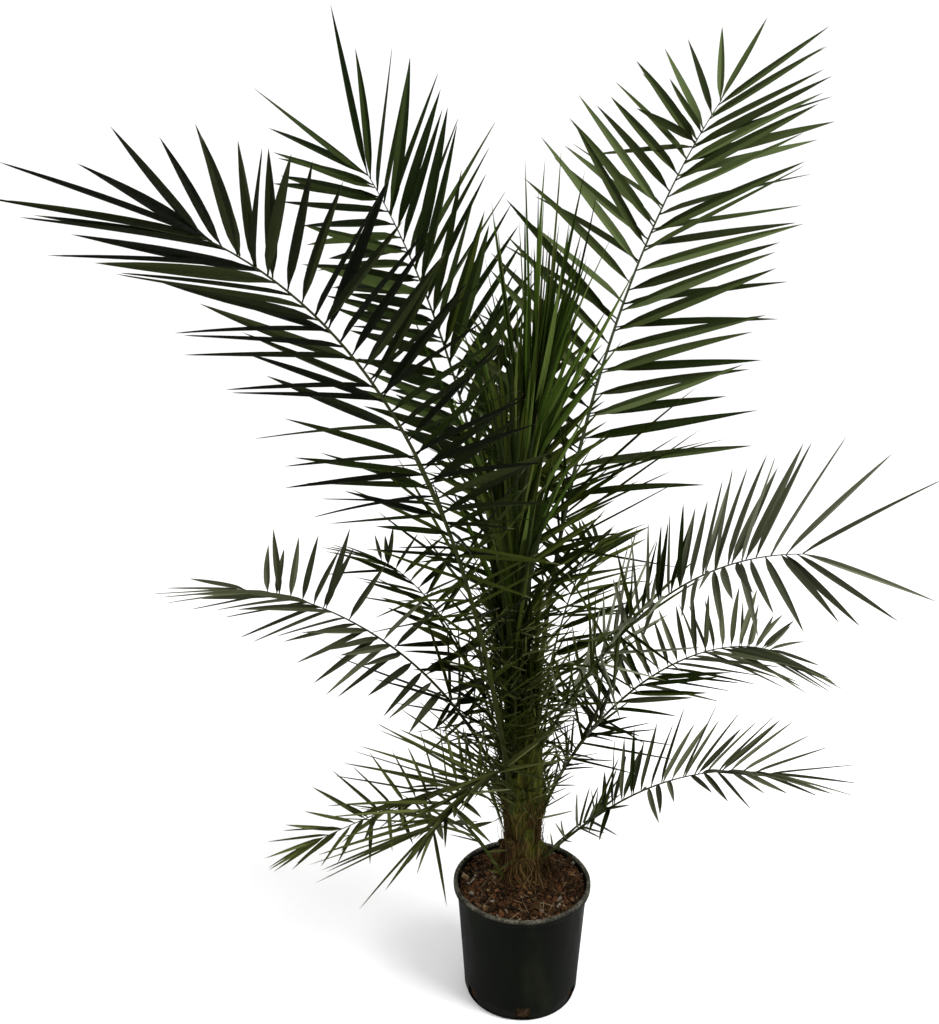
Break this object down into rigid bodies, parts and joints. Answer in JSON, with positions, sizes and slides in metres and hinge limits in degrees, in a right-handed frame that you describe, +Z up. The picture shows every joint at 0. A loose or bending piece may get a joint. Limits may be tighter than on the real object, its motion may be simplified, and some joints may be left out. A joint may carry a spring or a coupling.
{
  "type": "potted young date palm",
  "caption": "Young date palm with a fibrous stem and long feather fronds of narrow pointed leaflets, standing in a round black plastic nursery pot filled with bark soil.",
  "frame": {"origin": "centre of the flat underside of the pot", "axes": "+Z up along the pot's axis; the side seen in the picture faces -Y, with +X to its right"},
  "size_m": [1.3888, 1.8283, 1.8416],
  "materials": {
    "pot_plastic": "matt black plastic, dusty at the rim",
    "bark_soil": "loose brown bark chips",
    "stem_fibre": "rough leaf bases with brown fibre",
    "frond_stalk": "smooth green stalk",
    "frond_leaf": "leathery dark green leaf"
  },
  "bodies": {
    "root": {"pot": "pot_plastic", "soil": "bark_soil", "stem": "stem_fibre", "tall_left_stalk": "frond_stalk", "tall_left_blade_lower": "frond_leaf", "tall_left_blade_upper": "frond_leaf", "tall_right_stalk": "frond_stalk", "tall_right_blade_lower": "frond_leaf", "tall_right_blade_upper": "frond_leaf", "tall_rear_stalk": "frond_stalk", "tall_rear_blade_lower": "frond_leaf", "tall_rear_blade_upper": "frond_leaf", "right_upper_stalk": "frond_stalk", "right_upper_blade_lower": "frond_leaf", "right_upper_blade_upper": "frond_leaf", "right_middle_stalk": "frond_stalk", "right_middle_blade_lower": "frond_leaf", "right_middle_blade_upper": "frond_leaf", "right_low_stalk": "frond_stalk", "right_low_blade_lower": "frond_leaf", "right_low_blade_upper": "frond_leaf", "left_middle_stalk": "frond_stalk", "left_middle_blade_lower": "frond_leaf", "left_middle_blade_upper": "frond_leaf", "left_low_stalk": "frond_stalk", "left_low_blade_lower": "frond_leaf", "left_low_blade_upper": "frond_leaf", "left_front_stalk": "frond_stalk", "left_front_blade_lower": "frond_leaf", "left_front_blade_upper": "frond_leaf", "left_lowest_stalk": "frond_stalk", "left_lowest_blade_lower": "frond_leaf", "left_lowest_blade_upper": "frond_leaf", "rear_right_stalk": "frond_stalk", "rear_right_blade_lower": "frond_leaf", "rear_right_blade_upper": "frond_leaf", "rear_left_stalk": "frond_stalk", "rear_left_blade_lower": "frond_leaf", "rear_left_blade_upper": "frond_leaf", "rear_steep_stalk": "frond_stalk", "rear_steep_blade_lower": "frond_leaf", "rear_steep_blade_upper": "frond_leaf", "inner_open_stalk": "frond_stalk", "inner_open_blade": "frond_leaf", "inner_spear_stalk": "frond_stalk", "inner_spear_blade": "frond_leaf"}
  },
  "joints": []
}
